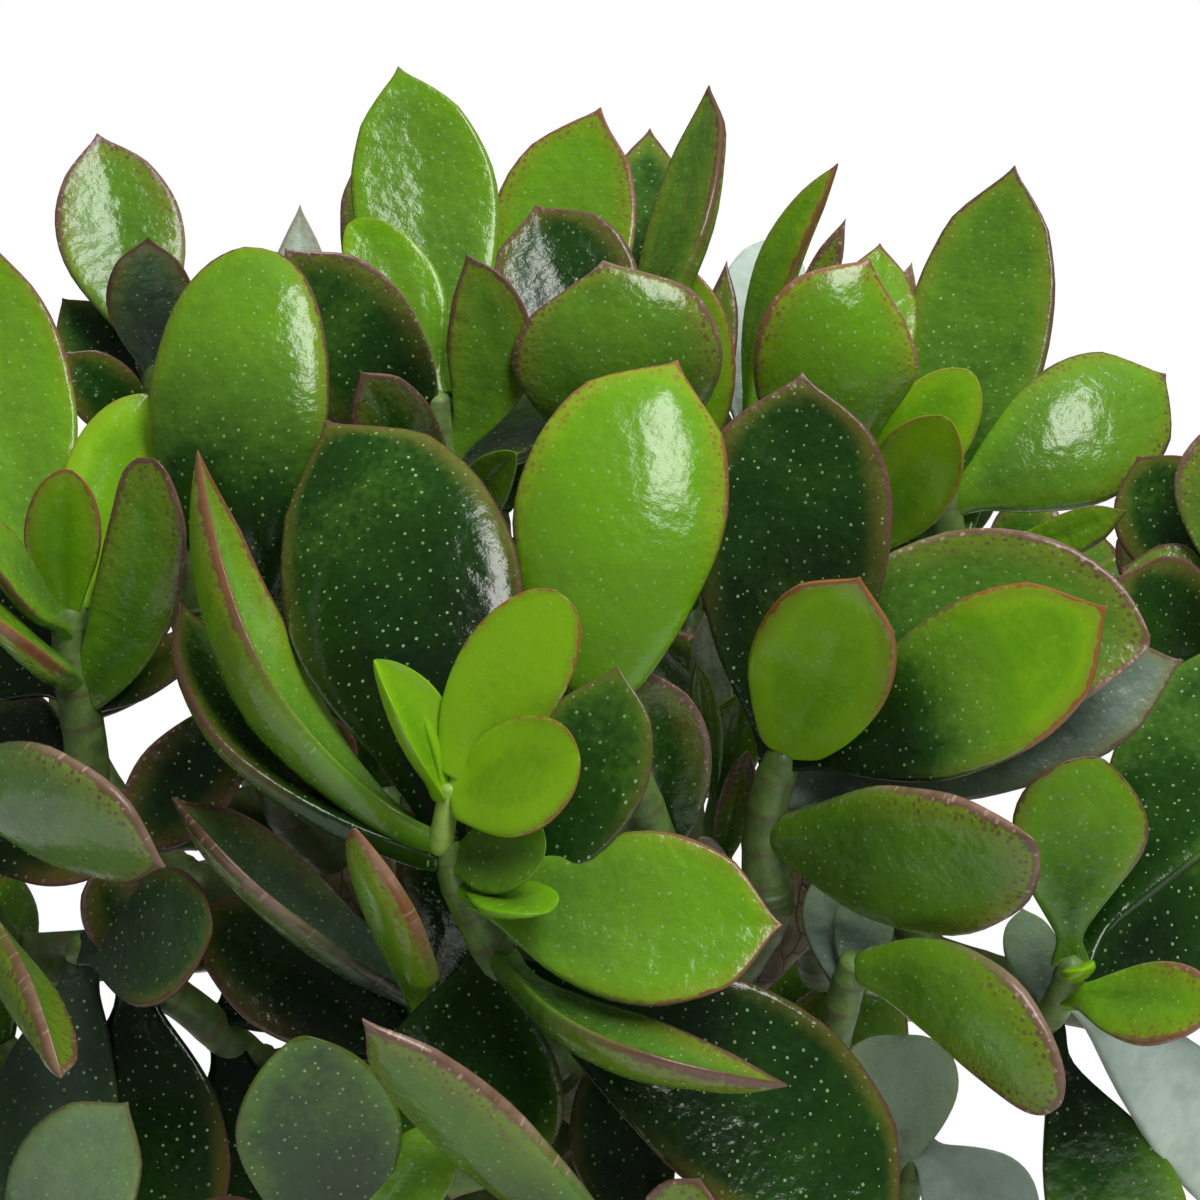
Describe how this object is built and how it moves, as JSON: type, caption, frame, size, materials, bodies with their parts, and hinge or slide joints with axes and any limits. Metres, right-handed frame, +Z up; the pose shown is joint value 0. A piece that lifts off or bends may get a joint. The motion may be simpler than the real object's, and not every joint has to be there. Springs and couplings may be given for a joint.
{
  "type": "potted jade plant",
  "caption": "Bushy potted jade plant with thick glossy oval leaves edged in red on short woody branches, in a plain round clay pot.",
  "frame": {"origin": "middle of the pot's underside, where it stands", "axes": "+Z up along the pot's axis, -Y toward the side that the picture shows, +X to that view's right"},
  "size_m": [0.3217, 0.2669, 0.3765],
  "materials": {
    "terracotta": "matte fired clay",
    "soil": "rough, crumbly",
    "bark": "satin, ringed green-brown bark",
    "leaf": "glossy, pale dots, red-brown edge",
    "young_leaf": "satin, thin red edge"
  },
  "bodies": {
    "root": {"pot": "terracotta", "soil": "soil", "trunk_and_branches": "bark", "shoot_back_left": "leaf", "shoot_back_left_high": "leaf", "shoot_back_mid_left": "leaf", "shoot_back_mid_right": "leaf", "shoot_back_right_high": "leaf", "shoot_centre": "leaf", "shoot_centre_small": "leaf", "shoot_crown_back": "leaf", "shoot_crown_centre": "leaf", "shoot_crown_left": "leaf", "shoot_crown_right": "leaf", "shoot_far_right": "leaf", "shoot_front": "leaf", "shoot_inner_left": "leaf", "shoot_inner_middle": "leaf", "shoot_inner_right": "leaf", "shoot_left": "leaf", "shoot_low_back": "leaf", "shoot_low_edge": "leaf", "shoot_low_front": "leaf", "shoot_low_left": "leaf", "shoot_low_right": "leaf", "shoot_low_west": "leaf", "shoot_lower_left": "leaf", "shoot_mid_left": "leaf", "shoot_rear_centre": "leaf", "shoot_rear_left": "leaf", "shoot_rear_low_left": "leaf", "shoot_rear_low_right": "leaf", "shoot_rear_right": "leaf", "shoot_right_edge": "leaf", "shoot_right_front": "leaf", "shoot_right_upper": "leaf", "shoot_side_left": "leaf", "shoot_side_right": "leaf", "shoot_upper_left": "leaf", "shoot_west": "leaf", "sprig_front": "young_leaf"}
  },
  "joints": []
}
